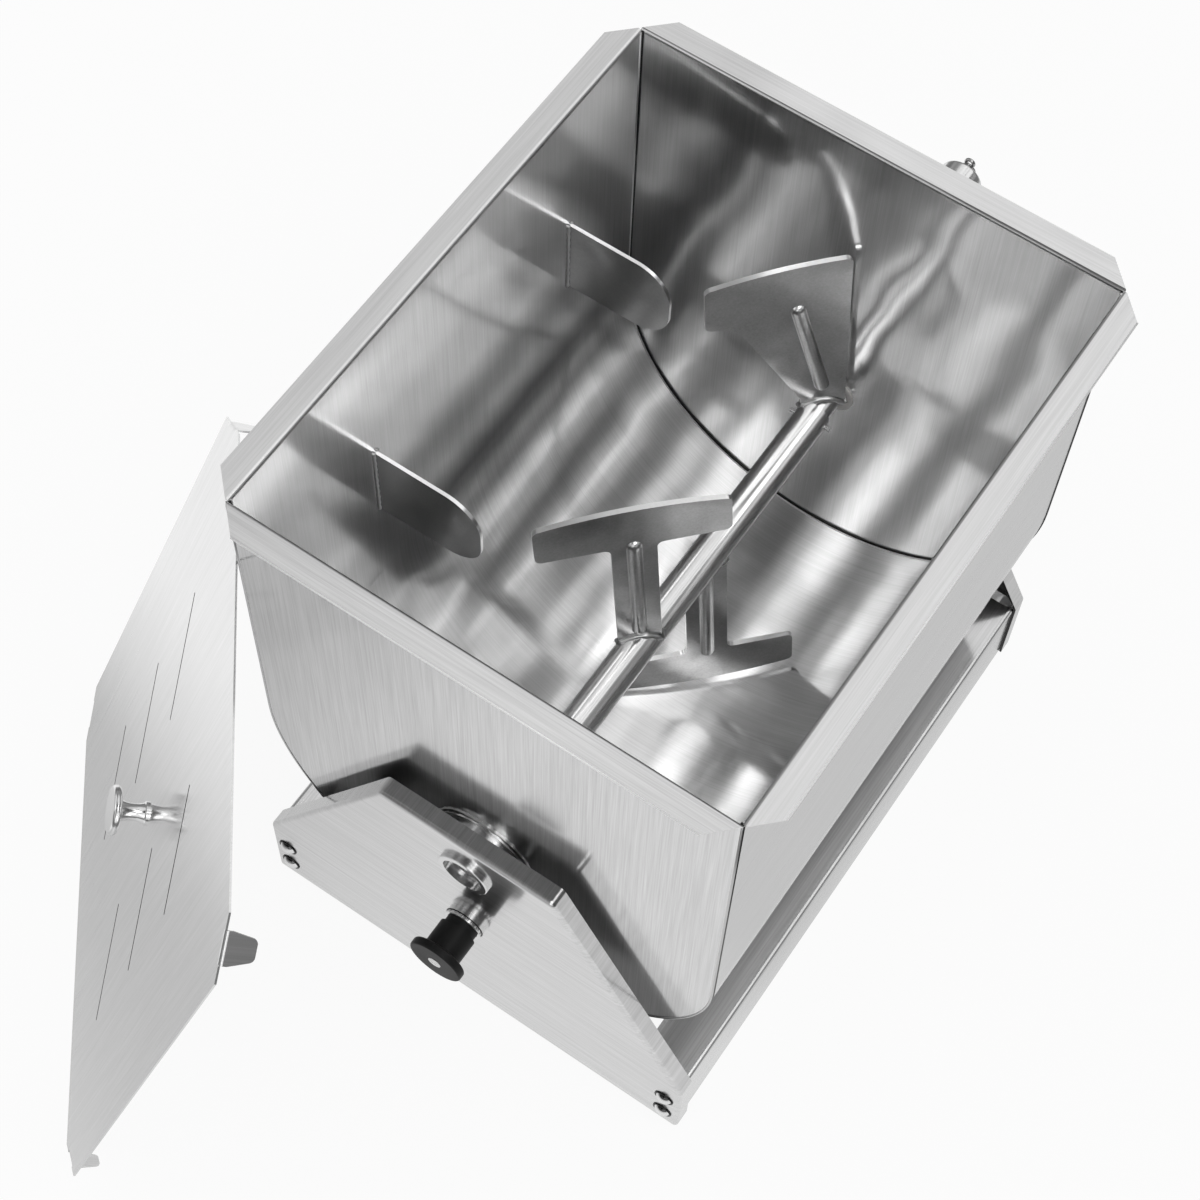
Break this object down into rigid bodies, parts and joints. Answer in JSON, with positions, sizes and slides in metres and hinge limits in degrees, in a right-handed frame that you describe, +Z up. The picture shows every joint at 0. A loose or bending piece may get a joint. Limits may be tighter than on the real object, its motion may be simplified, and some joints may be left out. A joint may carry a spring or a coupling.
{
  "type": "meat mixer",
  "caption": "Hand-cranked meat mixer: a tilting round-bottomed stainless hopper between folded stands, with pitched paddles, a locking plunger and a slotted lid.",
  "frame": {"origin": "on the surface the feet rest on, under the middle of the hopper", "axes": "+X the way the hopper pours, +Y along the mixing shaft toward the crank, +Z up"},
  "size_m": [0.4506, 0.681, 0.4045],
  "materials": {
    "stainless": "brushed stainless sheet",
    "polished": "polished bright metal",
    "rubber": "black moulded rubber",
    "black_plastic": "matt black plastic",
    "pale_plastic": "pale grey cap",
    "nylon": "natural white nylon",
    "spring_steel": "bright spring wire"
  },
  "bodies": {
    "base": {"front_stand": "stainless", "rear_stand": "stainless", "left_rail": "stainless", "right_rail": "stainless", "stand_screws": "polished", "stand_nuts": "stainless", "rubber_feet": "rubber", "foot_screws": "stainless", "foot_nuts": "stainless", "front_bearing_bush": "polished", "rear_bearing_bush": "polished", "plunger_barrel": "stainless", "plunger_guide": "stainless", "plunger_collar": "polished", "plunger_nut": "stainless", "plunger_spring": "spring_steel"},
    "plunger": {"plunger_pin": "stainless", "plunger_knob": "black_plastic", "plunger_cap": "pale_plastic"},
    "hopper": {"hopper_shell": "stainless", "front_wall": "stainless", "rear_wall": "stainless", "front_baffle": "stainless", "rear_baffle": "stainless", "front_trunnion": "stainless", "rear_trunnion": "stainless", "locking_boss": "stainless", "front_axle_stub": "stainless", "inner_spindle_bush": "nylon", "outer_spindle_bush": "nylon", "front_thrust_washer": "nylon"},
    "mixer": {"mixer_tube": "stainless", "front_end_paddle": "stainless", "front_t_paddle": "stainless", "rear_t_paddle": "stainless", "rear_end_paddle": "stainless", "drive_spindle": "stainless", "drive_pin": "stainless", "crank_arm": "stainless", "crank_hub": "stainless", "crank_hub_pin": "stainless", "crank_washer": "nylon", "grip_spindle": "stainless", "grip_washers": "stainless", "split_pin": "stainless"},
    "grip": {"crank_grip": "polished"},
    "lid": {"lid_panel": "stainless", "lid_knob": "polished", "lid_knob_screw": "stainless", "lid_knob_washer": "stainless"}
  },
  "joints": [
    {"name": "hopper_tilt", "type": "hinge", "parent": "base", "child": "hopper", "pos_m": [0, 0, 0.189], "axis": [0, 1, 0], "range_deg": [0, 80]},
    {"name": "mixer_turn", "type": "hinge", "parent": "hopper", "child": "mixer", "pos_m": [0, 0, 0.189], "axis": [0, 1, 0], "continuous": true},
    {"name": "grip_turn", "type": "hinge", "parent": "mixer", "child": "grip", "pos_m": [0.01137, 0.234, 0.29197], "axis": [0, 1, 0], "continuous": true},
    {"name": "plunger_slide", "type": "slide", "parent": "base", "child": "plunger", "axis": [0, 1, 0], "range_m": [0, 0.004]},
    {"name": "lid_lean", "type": "hinge", "parent": "base", "child": "lid", "pos_m": [-0.2111, -0.29142, 0], "axis": [0.6046, -0.7965, 0], "range_deg": [0, 20.25]}
  ]
}
